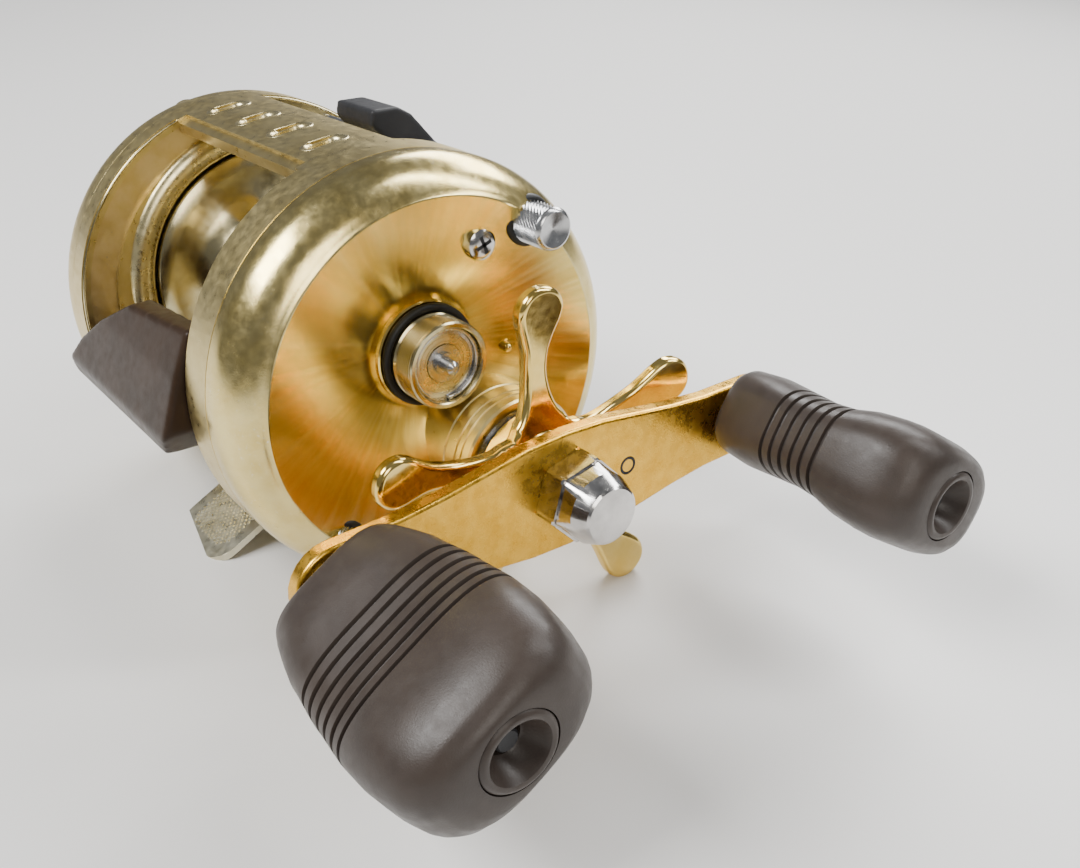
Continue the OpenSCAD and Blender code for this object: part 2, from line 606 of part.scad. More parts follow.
// wide outline, thin outline and rounded section, all crossed
module knob_solid() {
    a = knob_half_width; b = knob_half_thickness; L = knob_length;
    intersection() {
        rotate([90, 0, 0]) translate([0, 0, -20]) linear_extrude(40) polygon([
            [0, -a * 0.69], [0.10 * L, -a * 0.80], [0.23 * L, -a * 0.885], [0.41 * L, -a * 0.96],
            [0.60 * L, -a], [0.78 * L, -a * 0.96], [0.90 * L, -a * 0.83], [0.97 * L, -a * 0.66],
            [L, -a * 0.48], [L, a * 0.48], [0.97 * L, a * 0.66], [0.90 * L, a * 0.83],
            [0.78 * L, a * 0.96], [0.60 * L, a], [0.41 * L, a * 0.96], [0.23 * L, a * 0.885],
            [0.10 * L, a * 0.80], [0, a * 0.69]]);
        translate([0, 0, -20]) linear_extrude(40) polygon([
            [0, -b * 0.74], [0.10 * L, -b * 0.84], [0.25 * L, -b * 0.82], [0.42 * L, -b * 0.77],
            [0.60 * L, -b * 0.88], [0.76 * L, -b], [0.88 * L, -b * 0.96], [0.95 * L, -b * 0.85],
            [L, -b * 0.68], [L, b * 0.68], [0.95 * L, b * 0.85], [0.88 * L, b * 0.96],
            [0.76 * L, b], [0.60 * L, b * 0.88], [0.42 * L, b * 0.77], [0.25 * L, b * 0.82],
            [0.10 * L, b * 0.84], [0, b * 0.74]]);
        extx(-1, L + 1) union() {
            square([2 * b - 9, 2 * a], center = true);
            square([2 * b, 2 * a - 9], center = true);
            for (u = [-1, 1], v = [-1, 1])
                translate([u * (b - 4.5), v * (a - 4.5)]) circle(4.5);
        }
    }
}
module knob(s, turn) color([0.2, 0.16, 0.14]) P() at(Dy + s * handle_reach, Dz)
    rotate([turn, 0, 0]) translate([kx0, 0, 0]) difference() {
        knob_solid();
        cylx(-1, knob_length, post_radius + run_fit);
        cylx(knob_length - 4.4, knob_length + 1, 4.6);
        for (i = [0:5]) translate([knob_length * 0.36 + i * 1.75, 0, 0]) difference() {
            box(0, 0.55, -20, 20, -20, 20);
            box(-1, 2, -knob_half_thickness * 0.72, knob_half_thickness * 0.72, -9.2, 9.2);
        }
    }
module knob_near() knob(-1, -60);
module knob_far() knob(1, 56);
module knob_cap(s) color([0.17, 0.14, 0.12]) P() at(Dy + s * handle_reach, Dz) difference() {
    cylx(kx1 - 4.38, kx1 + 0.2, 4.58);
    conex(kx1 - 2.8, kx1 + 0.21, 1.9, 3.1);
    cylx(kx1 - 5, kx1 - 2, 1.2);
}
module knob_cap_near() knob_cap(-1);
module knob_cap_far() knob_cap(1);

// ---------------------------------------------------------------- line guide
module worm_bushing(a, b) color([0.2, 0.2, 0.22]) P() at(Wy, Wz)
    tubex(a, b, 2.39, worm_radius - 0.5 + run_fit);
module worm_bushings() {
    worm_bushing(xl + 0.3, xv - 0.1);
    worm_bushing(xw + 0.02, xweb - 0.02);
}
module worm_shaft() color([0.8, 0.8, 0.82]) P() at(Wy, Wz) union() {
    cylx(xv + 0.1, xw - 0.1, worm_radius);
    cylx(xl + 0.6, gx1 + 0.4, worm_radius - 0.5);
}
module worm_gear() color([0.9, 0.9, 0.88]) P() at(Wy, Wz) difference() {
    extx(gx0, gx1) rotate(worm_turn) gear2d(worm_teeth);
    cylx(-9, 0, worm_radius - 0.49);
}
module idler_gear() color([0.9, 0.9, 0.88]) P() at(Iy, Iz) difference() {
    extx(gx0, gx1) rotate(idler_turn) gear2d(idler_teeth);
    cylx(-9, 0, 1 + run_fit);
    for (i = [0:4]) rotate([i * 72, 0, 0]) at(3.6, 0) cylx(-9, 0, 0.9);
}
module worm_tube() color([0.75, 0.75, 0.77]) P() at(Wy, Wz) difference() {
    tubex(xv + 0.02, xw - 0.02, 2.55, 1.95);
    box(xv + 3, xw - 3, -0.9, 0.9, -4, 0);
}
module guide_bar() color([0.8, 0.8, 0.82]) P() at(By, Bz)
    cylx(xv - 1.4, xweb - 0.1, guide_bar_radius - 0.005);
module line_guide() color([0.06, 0.06, 0.07]) P() translate([xc, 0, 0]) difference() {
    g = guide_width / 2;
    union() {
        extx(-g, g) polygon([[17.9, 7.2], [24.9, 7.2], [25.2, 14.2], [14.6, 27], [12.6, 28.2],
            [8.6, 28.3], [8.2, 26.4], [17.6, 14.6]]);
    }
    at(Wy, Wz) cylx(-20, 20, 2.55 + slide_fit);
    at(By, Bz) cylx(-20, 20, guide_bar_radius + slide_fit);
    for (x = [-3.2, 3.2]) translate([x, 5, 19]) rotate([-90, 0, 0]) cylinder(h = 25, r = 2.4);
    box(-3.2, 3.2, 5, 30, 16.6, 21.4);
    translate([0, Wy, 5]) cylinder(h = 5, r = 1.5);
    box(-g - 1, -g + 2, 8, 30, 22.5, 29);
    box(g - 2, g + 1, 8, 30, 22.5, 29);
}
module line_guide_insert() color([0.9, 0.9, 0.86]) P() translate([xc, 0, 0]) difference() {
    translate([0, 15.6, 19]) union() {
        for (x = [-3.2, 3.2]) translate([x, 0, 0]) rotate([-90, 0, 0]) cylinder(h = 3.2, r = 2.39);
        box(-3.2, 3.2, 0, 3.2, -2.39, 2.39);
    }
    for (x = [-3.2, 3.2]) translate([x, 5, 19]) rotate([-90, 0, 0]) cylinder(h = 25, r = 1.7);
    box(-3.2, 3.2, 5, 30, 17.3, 20.7);
}
module line_pawl() color([0.75, 0.75, 0.77]) P() translate([xc, Wy, 0]) {
    translate([0, 0, 8.9]) cylinder(h = 0.95, r = 0.8);
    translate([0, 0, 8]) cylinder(h = 0.95, r = 1.3);
}
module pawl_cap() color([0.7, 0.7, 0.72]) P() translate([xc, Wy, 0]) {
    translate([0, 0, 6.4]) cylinder(h = 0.78, r = 2.2);
    translate([0, 0, 7.1]) cylinder(h = 0.88, r = 1.49);
}
module front_pillar() color([0.72, 0.66, 0.45]) P() at(pillar_y, pillar_z) {
    cylx(xv + 0.02, xw - 0.02, 1.9);
    cylx(xv - 1.4, xweb - 0.05, 1.19);
}

// ---------------------------------------------------------------- fasteners
module thumbscrew(p) color([0.78, 0.78, 0.8]) P() at(p[0], p[1]) difference() {
    union() {
        cylx(6.2, 11.2, 2.75);
        conex(11.2, 11.7, 2.75, 2.4);
        cylx(xw + 0.1, 6.3, 0.89);
    }
    conex(10.9, 11.71, 0.2, 1.9);
}
module thumbscrew_upper() thumbscrew(upper_screw);
module thumbscrew_lower() thumbscrew(lower_screw);
module screw_o_ring(p) color([0.03, 0.03, 0.03]) P() at(p[0], p[1]) difference() {
    translate([5.69, 0, 0]) rotate([0, 90, 0]) rotate_extrude() translate([2.5, 0])
        circle(0.5, $fn = 32);
    cylx(4, 5.22, 9);
}
module screw_o_rings() {
    screw_o_ring(upper_screw);
    screw_o_ring(lower_screw);
}
module cover_screw() color([0.75, 0.75, 0.77]) P() at(plate_screw[0], plate_screw[1]) difference() {
    union() {
        conex(4.02, 5.9, 2.15, 1.6);
        cylx(0.9, 4.1, 0.89);
    }
    box(5.1, 7, -1.1, 1.1, -0.25, 0.25);
    box(5.1, 7, -0.25, 0.25, -1.1, 1.1);
}
module index_pin() color([0.85, 0.7, 0.35]) P() at(13, 0) {
    cylx(1.22, 2.7, 0.69);
    translate([2.7, 0, 0]) sphere(0.69, $fn = 40);
}

frame();
reel_foot();
foot_screws();
right_side_cover();
left_side_cover();
brake_drum();
left_cover_screws();
drive_boss_sleeve();
drive_bearing();
boss_base_ring();
boss_o_ring();
right_bearing_outer();
right_bearing_inner();
right_bearing_balls();
bearing_clip();
left_bearing();
spool();
spool_shaft();
spool_pin();
brake_hub();
brake_weights();
pinion_gear();
pinion_yoke();
yoke_posts();
yoke_springs();
thumb_bar();
clutch_slide();
drive_gear();
drag_washers();
drive_bushing();
drive_shaft();
ratchet_wheel();
anti_reverse_pawl();
spring_washers();
drag_nut();
star_drag();
handle_plate();
handle_nut();
knob_post_near();
knob_post_far();
knob_near();
knob_far();
knob_cap_near();
knob_cap_far();
worm_bushings();
worm_shaft();
worm_gear();
idler_gear();
worm_tube();
guide_bar();
line_guide();
line_guide_insert();
line_pawl();
pawl_cap();
front_pillar();
thumbscrew_upper();
thumbscrew_lower();
screw_o_rings();
cover_screw();
index_pin();
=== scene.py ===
# Looks of the baitcasting reel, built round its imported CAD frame.
# Lengths in the helpers are millimetres from the centre of the right cover's seam, as in CAD.
import json
import math

import bmesh
import bpy
from mathutils import Matrix, Vector


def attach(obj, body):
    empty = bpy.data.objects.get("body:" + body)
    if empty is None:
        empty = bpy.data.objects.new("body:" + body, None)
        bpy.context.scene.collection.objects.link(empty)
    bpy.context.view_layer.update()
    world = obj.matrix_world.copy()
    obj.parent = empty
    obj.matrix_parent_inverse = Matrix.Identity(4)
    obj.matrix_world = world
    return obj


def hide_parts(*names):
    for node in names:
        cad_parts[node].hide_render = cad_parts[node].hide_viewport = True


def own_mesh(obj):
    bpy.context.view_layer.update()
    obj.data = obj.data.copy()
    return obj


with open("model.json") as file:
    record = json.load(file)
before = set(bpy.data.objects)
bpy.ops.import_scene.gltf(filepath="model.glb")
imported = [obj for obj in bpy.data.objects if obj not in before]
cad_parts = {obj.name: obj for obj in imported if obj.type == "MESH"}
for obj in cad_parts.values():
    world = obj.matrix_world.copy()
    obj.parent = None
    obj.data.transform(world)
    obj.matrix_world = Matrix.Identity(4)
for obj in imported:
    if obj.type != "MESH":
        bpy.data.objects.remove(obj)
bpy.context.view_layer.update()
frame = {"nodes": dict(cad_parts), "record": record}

SEAM = (25.7, 0.0, 29.6)          # seam centre in the row frame
PLATE_R = 28.0                    # radius of both side plates
WINDOW = (-43.1, -5.7)            # faces of the two frame walls
# axes along X, as (y, z)
SPOOL = (1.7, 1.7)
DRIVE = (8.35, -12.15)
UPPER_SCREW = (14.9, 17.8)
LOWER_SCREW = (-16.1, -17.5)
PLATE_SCREW = (8.35, 15.9)
# handle: faces of its plate, ends of a knob, and the knob's distance from the drive axis
ARM = (19.2, 21.6)
KNOB = (22.8, 55.0)
REACH = 32.55
TAU = 2 * math.pi


def P(x, y, z):
    """A point in the row frame, in metres."""
    return Vector(((x + SEAM[0]) / 1000, (y + SEAM[1]) / 1000, (z + SEAM[2]) / 1000))


# ------------------------------------------------------------------ camera, light and floor
def make_camera():
    """The camera that was fitted to the photo's ellipses, in the row frame."""
    cam = bpy.data.cameras.new("camera")
    cam.sensor_width = 36
    cam.lens = 37.28
    cam.shift_x = -0.0313
    cam.shift_y = 0.0378
    cam.clip_start = 0.005
    obj = bpy.data.objects.new("camera", cam)
    bpy.context.collection.objects.link(obj)
    right = Vector((0.62791, 0.77801, -0.02094))
    down = Vector((0.37570, -0.32656, -0.86730))
    forward = Vector((-0.68160, 0.53671, -0.49735))
    turn = Matrix((right, -down, -forward)).transposed()
    place = Vector((0.143212, -0.066515, 0.089427))
    obj.matrix_world = Matrix.Translation(place) @ turn.to_4x4()
    bpy.context.scene.camera = obj
    return obj


def area_light(name, place, target, size, power, colour=(1, 1, 1)):
    light = bpy.data.lights.new(name, "AREA")
    light.shape = "RECTANGLE"
    light.size, light.size_y = size
    light.energy = power
    light.color = colour
    obj = bpy.data.objects.new(name, light)
    bpy.context.collection.objects.link(obj)
    obj.location = place
    obj.rotation_euler = (Vector(target) - Vector(place)).to_track_quat("-Z", "Y").to_euler()


def make_stage():
    me = bpy.data.meshes.new("floor")
    half = 3.0
    corners = [(-half, -half, 0), (half, -half, 0), (half, half, 0), (-half, half, 0)]
    me.from_pydata(corners, [], [(0, 1, 2, 3)])
    floor = bpy.data.objects.new("floor", me)
    bpy.context.collection.objects.link(floor)
    # the reel leans on its foot's edge and the two lowest star lobes
    foot_edge, lobe_drop, lobe_reach = 0.0075, 3.45, 33.8
    lean = math.atan2(lobe_drop, lobe_reach)
    floor.matrix_world = (Matrix.Translation((foot_edge, 0, -0.0001))
                          @ Matrix.Rotation(lean, 4, "Y"))
    m = bpy.data.materials.new("floor")
    m.use_nodes = True
    b = m.node_tree.nodes["Principled BSDF"]
    b.inputs["Base Color"].default_value = (0.80, 0.79, 0.77, 1)
    b.inputs["Roughness"].default_value = 0.42
    me.materials.append(m)
    world = bpy.data.worlds.new("studio")
    bpy.context.scene.world = world
    world.use_nodes = True
    world.node_tree.nodes["Background"].inputs[0].default_value = (0.92, 0.95, 1.0, 1)
    world.node_tree.nodes["Background"].inputs[1].default_value = 0.20
    target = (0.02, 0, 0.03)
    area_light("key", (-0.05, -0.35, 0.45), target, (0.35, 0.22), 4.6)
    area_light("fill", (0.50, -0.10, 0.25), target, (0.22, 0.22), 0.9, (1, 0.96, 0.90))
    area_light("back", (-0.15, 0.40, 0.35), target, (0.50, 0.18), 3.4)
    area_light("strip", (0.25, 0.30, 0.40), target, (0.08, 0.45), 1.6)


# ------------------------------------------------------------------ materials
def new_material(name):
    m = bpy.data.materials.new(name)
    m.use_nodes = True
    m.node_tree.nodes.clear()
    t = m.node_tree
    out = t.nodes.new("ShaderNodeOutputMaterial")
    b = t.nodes.new("ShaderNodeBsdfPrincipled")
    t.links.new(b.outputs[0], out.inputs[0])
    return m, t, b


def noise(t, scale, detail=4, stretch=None, rough=0.55):
    co = t.nodes.new("ShaderNodeTexCoord")
    n = t.nodes.new("ShaderNodeTexNoise")
    n.inputs["Scale"].default_value = scale
    n.inputs["Detail"].default_value = detail
    n.inputs["Roughness"].default_value = rough
    if stretch:
        mp = t.nodes.new("ShaderNodeMapping")
        mp.inputs["Scale"].default_value = stretch
        t.links.new(co.outputs["Object"], mp.inputs["Vector"])
        t.links.new(mp.outputs[0], n.inputs["Vector"])
    else:
        t.links.new(co.outputs["Object"], n.inputs["Vector"])
    return n.outputs["Fac"]


def fan(t, centre, scale):
    """Noise that runs out from an axis along X, as turned metal glints."""
    co = t.nodes.new("ShaderNodeTexCoord")
    last = co.outputs["Object"]
    for op, value in (("SUBTRACT", (0, *centre)), ("MULTIPLY", (0, 1, 1)), ("NORMALIZE", None)):
        v = t.nodes.new("ShaderNodeVectorMath")
        v.operation = op
        t.links.new(last, v.inputs[0])
        if value:
            v.inputs[1].default_value = value
        last = v.outputs[0]
    n = t.nodes.new("ShaderNodeTexNoise")
    n.inputs["Scale"].default_value = scale
    n.inputs["Detail"].default_value = 7
    n.inputs["Roughness"].default_value = 0.7
    t.links.new(last, n.inputs["Vector"])
    return n.outputs["Fac"]


def ramp(t, fac, stops):
    r = t.nodes.new("ShaderNodeValToRGB")
    e = r.color_ramp.elements
    while len(e) < len(stops):
        e.new(0.5)
    for el, (pos, col) in zip(e, stops):
        el.position = pos
        el.color = (*col, 1) if len(col) == 3 else col
    t.links.new(fac, r.inputs[0])
    return r.outputs[0]


def remap(t, fac, a, b, lo, hi):
    n = t.nodes.new("ShaderNodeMapRange")
    n.inputs["From Min"].default_value = a
    n.inputs["From Max"].default_value = b
    n.inputs["To Min"].default_value = lo
    n.inputs["To Max"].default_value = hi
    t.links.new(fac, n.inputs["Value"])
    return n.outputs[0]


def mix_colour(t, fac, a, b):
    n = t.nodes.new("ShaderNodeMix")
    n.data_type = "RGBA"
    for value, socket in ((fac, n.inputs[0]), (a, n.inputs[6]), (b, n.inputs[7])):
        if isinstance(value, tuple):
            socket.default_value = (*value, 1)
        elif isinstance(value, float):
            socket.default_value = value
        else:
            t.links.new(value, socket)
    return n.outputs[2]


def maths(t, op, a, b=None):
    n = t.nodes.new("ShaderNodeMath")
    n.operation = op
    n.use_clamp = True
    for value, socket in ((a, n.inputs[0]), (b, n.inputs[1])):
        if value is None:
            continue
        if isinstance(value, (int, float)):
            socket.default_value = value
        else:
            t.links.new(value, socket)
    return n.outputs[0]


def bump(t, b, height, strength, distance):
    n = t.nodes.new("ShaderNodeBump")
    n.inputs["Strength"].default_value = strength
    n.inputs["Distance"].default_value = distance
    t.links.new(height, n.inputs["Height"])
    t.links.new(n.outputs[0], b.inputs["Normal"])


def metal(name, light, dark, rough=(0.18, 0.34), wear=None, wear_colour=(0.78, 0.78, 0.76),
          aniso=0.0, grain=None, blotch=260, pits=0.25, rays=None):
    """Anodised or plated metal: drifting tone, dull patches, fine grain and worn specks; given
    rays, the tone is painted radial glints.
    """
    m, t, b = new_material(name)
    # with rays, the base colour carries painted glints running out from the axis; without rays, a
    # random tone drift
    tone_and_painted_glints = fan(t, rays, 9) if rays else noise(t, blotch, 5)
    colour = ramp(t, tone_and_painted_glints, [(0.30, dark), (0.62, light)])
    b.inputs["Metallic"].default_value = 1.0
    rough_map = remap(t, fan(t, rays, 22) if rays else noise(t, 900, 6), 0.3, 0.7, *rough)
    if wear:
        chips = noise(t, wear[0], 8, rough=0.75)
        zone = noise(t, 90, 3)
        mask = maths(t, "MULTIPLY", remap(t, chips, wear[1], wear[1] + 0.035, 0, 1),
                     remap(t, zone, 0.42, 0.62, 0, 1))
        colour = mix_colour(t, mask, colour, wear_colour)
    t.links.new(colour, b.inputs["Base Color"])
    t.links.new(rough_map, b.inputs["Roughness"])
    b.inputs["Anisotropic"].default_value = aniso
    if aniso:
        # turned circles spread a highlight outward from the axis
        b.inputs["Anisotropic Rotation"].default_value = 0.25
        tan = t.nodes.new("ShaderNodeTangent")
        tan.direction_type = "RADIAL"
        tan.axis = "X"
        t.links.new(tan.outputs[0], b.inputs["Tangent"])
    bump(t, b, noise(t, 2600, 4, grain), pits, 0.00002)
    return m


def plastic(name, light, dark, rough=(0.38, 0.55), pits=0.35, scuff=0.0, shine=0.32):
    """Moulded plastic: slight tone drift, matt grain and pale scuffs."""
    m, t, b = new_material(name)
    colour = ramp(t, noise(t, 160, 4), [(0.32, dark), (0.66, light)])
    if scuff:
        marks = noise(t, 900, 8, None, 0.8)
        colour = mix_colour(t, remap(t, marks, 0.66, 0.74, 0, scuff), colour, (0.42, 0.37, 0.34))
    t.links.new(colour, b.inputs["Base Color"])
    b.inputs["Specular IOR Level"].default_value = shine
    t.links.new(remap(t, noise(t, 700, 5), 0.3, 0.7, rough[0], rough[1]), b.inputs["Roughness"])
    bump(t, b, noise(t, 5200, 3), pits, 0.00003)
    return m


CHAMPAGNE = (0.71, 0.58, 0.27)
CHAMPAGNE_DARK = (0.62, 0.49, 0.20)

MATERIALS = {
    # the turned dish's radial colour streaks are painted glints
    "dish": lambda: metal("amber_turned", (0.93, 0.75, 0.27), (0.80, 0.58, 0.13), (0.14, 0.28),
                          aniso=0.85, wear=(900, 0.70), wear_colour=(0.80, 0.66, 0.36),
                          pits=0.03, rays=(0.0017, 0.0313)),
    "shoulder": lambda: metal("champagne_worn", (0.76, 0.62, 0.27), (0.66, 0.51, 0.18),
                              (0.16, 0.28), wear=(3200, 0.61), pits=0.3),
    "amber": lambda: metal("amber_polished", (0.92, 0.69, 0.23), (0.84, 0.58, 0.14), (0.10, 0.20),
                           pits=0.15),
    "arm": lambda: metal("amber_brushed", (0.85, 0.49, 0.06), (0.72, 0.38, 0.03), (0.20, 0.36),
                         pits=0.9, blotch=420),
    "lip": lambda: metal("champagne_lip", (0.76, 0.66, 0.38), (0.64, 0.53, 0.26), (0.22, 0.36)),
    "frame": lambda: metal("champagne_satin", CHAMPAGNE, CHAMPAGNE_DARK, (0.26, 0.40),
                           wear=(900, 0.66), wear_colour=(0.28, 0.24, 0.16)),
    "spool": lambda: metal("champagne_turned", (0.66, 0.58, 0.34), (0.55, 0.46, 0.24),
                           (0.16, 0.26), aniso=0.8),
    "tan": lambda: metal("champagne_tan", (0.74, 0.59, 0.31), (0.62, 0.47, 0.20), (0.30, 0.45),
                         wear=(380, 0.62), wear_colour=(0.34, 0.31, 0.28)),
    "foot": lambda: metal("champagne_pale", (0.72, 0.68, 0.52), (0.60, 0.55, 0.38), (0.24, 0.40)),
    "chrome": lambda: metal("plated_bright", (0.66, 0.64, 0.62), (0.48, 0.46, 0.44), (0.08, 0.24)),
    "steel": lambda: metal("ground_steel", (0.62, 0.62, 0.62), (0.46, 0.46, 0.46), (0.16, 0.30)),
    "brass": lambda: metal("machined_brass", (0.78, 0.60, 0.27), (0.62, 0.44, 0.16), (0.18, 0.32)),
    "rubber": lambda: plastic("black_rubber", (0.018, 0.018, 0.018), (0.010, 0.010, 0.010),
                              (0.35, 0.5), 0.1),
    "black": lambda: plastic("black_plastic", (0.028, 0.028, 0.030), (0.016, 0.016, 0.018)),
    "knob": lambda: plastic("knob_plastic", (0.050, 0.038, 0.031), (0.036, 0.027, 0.022),
                            (0.32, 0.45), 0.5, 0.25),
    "bar": lambda: plastic("bar_plastic", (0.034, 0.019, 0.011), (0.024, 0.014, 0.008),
                           (0.30, 0.42), 0.4, 0.0, 0.14),
    "white": lambda: plastic("white_plastic", (0.80, 0.80, 0.76), (0.70, 0.70, 0.66), (0.25, 0.4)),
}
_made = {}


def material(key):
    if key not in _made:
        _made[key] = MATERIALS[key]()
    return _made[key]


# ------------------------------------------------------------------ mesh helpers
def finish_mesh(name, bm, key, body, replaces=(), sharp=35):
    me = bpy.data.meshes.new(name)
    bmesh.ops.recalc_face_normals(bm, faces=bm.faces)
    bm.to_mesh(me)
    bm.free()
    me.shade_smooth()
    me.set_sharp_from_angle(angle=math.radians(sharp))
    me.materials.append(material(key))
    obj = bpy.data.objects.new(name, me)
    bpy.context.collection.objects.link(obj)
    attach(obj, body)
    if replaces:
        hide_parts(*replaces)
    return obj


def bevel(obj, width, segments=3, angle=30):
    b = obj.modifiers.new("bevel", "BEVEL")
    b.width = width / 1000
    b.segments = segments
    b.limit_method = "ANGLE"
    b.angle_limit = math.radians(angle)
    b.harden_normals = True
    return obj


def lathe_into(bm, profile, y, z, closed=True, segs=160):
    """Turns (x, radius) points about an X axis through (y, z)."""
    rings = []
    for x, r in profile:
        if r < 1e-6:
            rings.append([bm.verts.new(P(x, y, z))])
            continue
        rings.append([bm.verts.new(P(x, y + r * math.cos(TAU * i / segs),
                                     z + r * math.sin(TAU * i / segs))) for i in range(segs)])
    pairs = list(zip(rings, rings[1:]))
    if closed:
        pairs.append((rings[-1], rings[0]))
    for a, b in pairs:
        for i in range(segs):
            j = (i + 1) % segs
            quad = [a[i % len(a)], a[j % len(a)], b[j % len(b)], b[i % len(b)]]
            face = list(dict.fromkeys(quad))
            if len(face) > 2:
                bm.faces.new(face)


def lathe(name, profile, y, z, key, body, slot, replaces=(), closed=True, segs=160, sharp=35):
    bm = bmesh.new()
    lathe_into(bm, profile, y, z, closed, segs)
    return finish_mesh(name, bm, key, body, replaces, sharp)


def arc(cx, cr, r, a0, a1, n=8):
    """(x, radius) points on a circle of the profile; angle 0 points outward."""
    return [(cx + r * math.sin(math.radians(a0 + (a1 - a0) * i / n)),
             cr + r * math.cos(math.radians(a0 + (a1 - a0) * i / n))) for i in range(n + 1)]


def slab(bm, outline, x0, x1):
    """Extrudes (y, z) points from x0 to x1."""
    low = [bm.verts.new(P(x0, y, z)) for y, z in outline]
    high = [bm.verts.new(P(x1, y, z)) for y, z in outline]
    n = len(outline)
    bm.faces.new(low)
    bm.faces.new(high[::-1])
    for i in range(n):
        j = (i + 1) % n
        bm.faces.new((low[i], high[i], high[j], low[j]))


def smooth_outline(points, n=6):
    """Closed Catmull-Rom curve through the points."""
    out = []
    k = len(points)
    for i in range(k):
        p0, p1, p2, p3 = (Vector(points[(i + d) % k]) for d in (-1, 0, 1, 2))
        for s in range(n):
            u = s / n
            out.append(tuple(0.5 * ((2 * p1) + (p2 - p0) * u
                                    + (2 * p0 - 5 * p1 + 4 * p2 - p3) * u * u
                                    + (3 * p1 - p0 - 3 * p2 + p3) * u * u * u)))
    return out


def softened(node, key, width=0.25, segments=2, angle=32):
    """A CAD node's own shape with its edges broken."""
    src = frame["nodes"][node]
    bm = bmesh.new()
    bm.from_mesh(src.data)
    bmesh.ops.remove_doubles(bm, verts=bm.verts, dist=2e-7)
    bmesh.ops.dissolve_limit(bm, angle_limit=math.radians(0.6), verts=bm.verts, edges=bm.edges)
    obj = finish_mesh(node + "_shell", bm, key, body_of_node(node), (node,), 30)
    return bevel(obj, width, segments, angle)


def moulded(node, key, voxel, rounds):
    """A CAD node's own shape with the soft edges of a moulding."""
    src = frame["nodes"][node]
    bm = bmesh.new()
    bm.from_mesh(src.data)
    bmesh.ops.remove_doubles(bm, verts=bm.verts, dist=2e-7)
    obj = finish_mesh(node + "_moulding", bm, key, body_of_node(node),
                      (node,), 30)
    remesh = obj.modifiers.new("remesh", "REMESH")
    remesh.mode = "VOXEL"
    remesh.voxel_size = voxel / 1000
    remesh.use_smooth_shade = True
    smooth = obj.modifiers.new("smooth", "SMOOTH")
    smooth.factor = 0.5
    smooth.iterations = rounds
    return obj


def body_of_node(node):
    for body, nodes in frame["record"]["behaviour"]["bodies"].items():
        if node in nodes:
            return body
    raise KeyError(node)


# ------------------------------------------------------------------ right cover
def cover_pieces():
    segs = 256
    bm = bmesh.new()
    shoulder = [(0.05, PLATE_R - 1.0), (0.05, PLATE_R - 0.15), (0.2, PLATE_R), (1.5, PLATE_R)]
    shoulder += arc(1.5, 22, 6, 6, 72, 14)
    edge_x, edge_r = 7.33, 23.56
    lathe_into(bm, shoulder + [(7.31, 23.72), (edge_x, edge_r)], 0, 0, closed=False, segs=segs)
    finish_mesh("cover_shoulder", bm, "shoulder", "housing",
                ("right_side_cover",), 30)
    # oblique cone from the face edge down to the foot of the spool boss
    bm = bmesh.new()
    rings = []
    floor_x, floor_r = -0.22, 7.0
    steps = 28
    for k in range(steps + 1):
        u = k / steps
        r = edge_r + (floor_r - edge_r) * u
        x = edge_x + (floor_x - edge_x) * u
        y, z = SPOOL[0] * u, SPOOL[1] * u
        rings.append([bm.verts.new(P(x, y + r * math.cos(TAU * i / segs),
                                     z + r * math.sin(TAU * i / segs))) for i in range(segs)])
    rings.append([bm.verts.new(P(floor_x, SPOOL[0] + 5 * math.cos(TAU * i / segs),
                                 SPOOL[1] + 5 * math.sin(TAU * i / segs))) for i in range(segs)])
    for a, b in zip(rings, rings[1:]):
        for i in range(segs):
            j = (i + 1) % segs
            bm.faces.new((a[i], a[j], b[j], b[i]))
    finish_mesh("cover_dish", bm, "dish", "housing", (), 30)
    # spool boss with its fine thread
    y, z = SPOOL
    prof = [(-0.22, 5.85), (2.1, 5.85), (2.3, 5.5), (2.7, 5.5)]
    turns, pitch = 8, 0.38
    for i in range(turns):
        x = 2.75 + i * pitch
        prof += [(x, 5.55), (x + 0.12, 5.85), (x + 0.24, 5.85), (x + 0.36, 5.55)]
    prof += [(5.95, 5.8), (6.13, 5.6), (6.13, 5.15), (6.0, 5.0), (1.42, 5.0), (1.42, 4.5),
             (-0.22, 4.5)]
    lathe("spool_boss", prof, y, z, "spool", "housing", "amber_metal")
    shield = [(4.55, 4.3), (4.72, 4.2), (4.78, 4.0), (4.78, 3.62), (4.7, 3.58), (4.7, 3.5),
              (4.78, 3.46), (4.78, 3.0), (4.7, 2.96), (4.7, 2.88), (4.78, 2.84), (4.78, 2.62),
              (4.6, 2.5)]
    lathe("bearing_shield", shield, y, z, "lip", "housing", "steel", (), closed=False, segs=96)
    ring = [(-0.2, 7.15), (0.55, 7.15), (0.75, 6.95), (0.75, 5.9), (-0.2, 5.9)]
    lathe("boss_ring", ring, y, z, "amber", "housing", "amber_metal", ("boss_base_ring",))
    # drive boss under the sleeve
    y, z = DRIVE
    prof = [(-0.25, 9.0), (6.1, 9.0), (6.25, 8.85), (6.25, 6.1), (-0.25, 6.1)]
    lathe("drive_boss", prof, y, z, "frame", "housing", "champagne_metal")
    prof = [(6.28, 6.2), (6.28, 8.8), (6.4, 8.92), (8.3, 8.92), (8.4, 8.72), (8.6, 8.72),
            (8.7, 8.92), (9.5, 8.92), (9.6, 8.72), (9.8, 8.72), (9.9, 8.92), (11.1, 8.92),
            (11.4, 8.65), (11.4, 7.6), (11.2, 7.4), (7.25, 7.4), (7.25, 6.2)]
    lathe("boss_sleeve", prof, y, z, "frame", "housing", "champagne_metal",
          ("drive_boss_sleeve",))


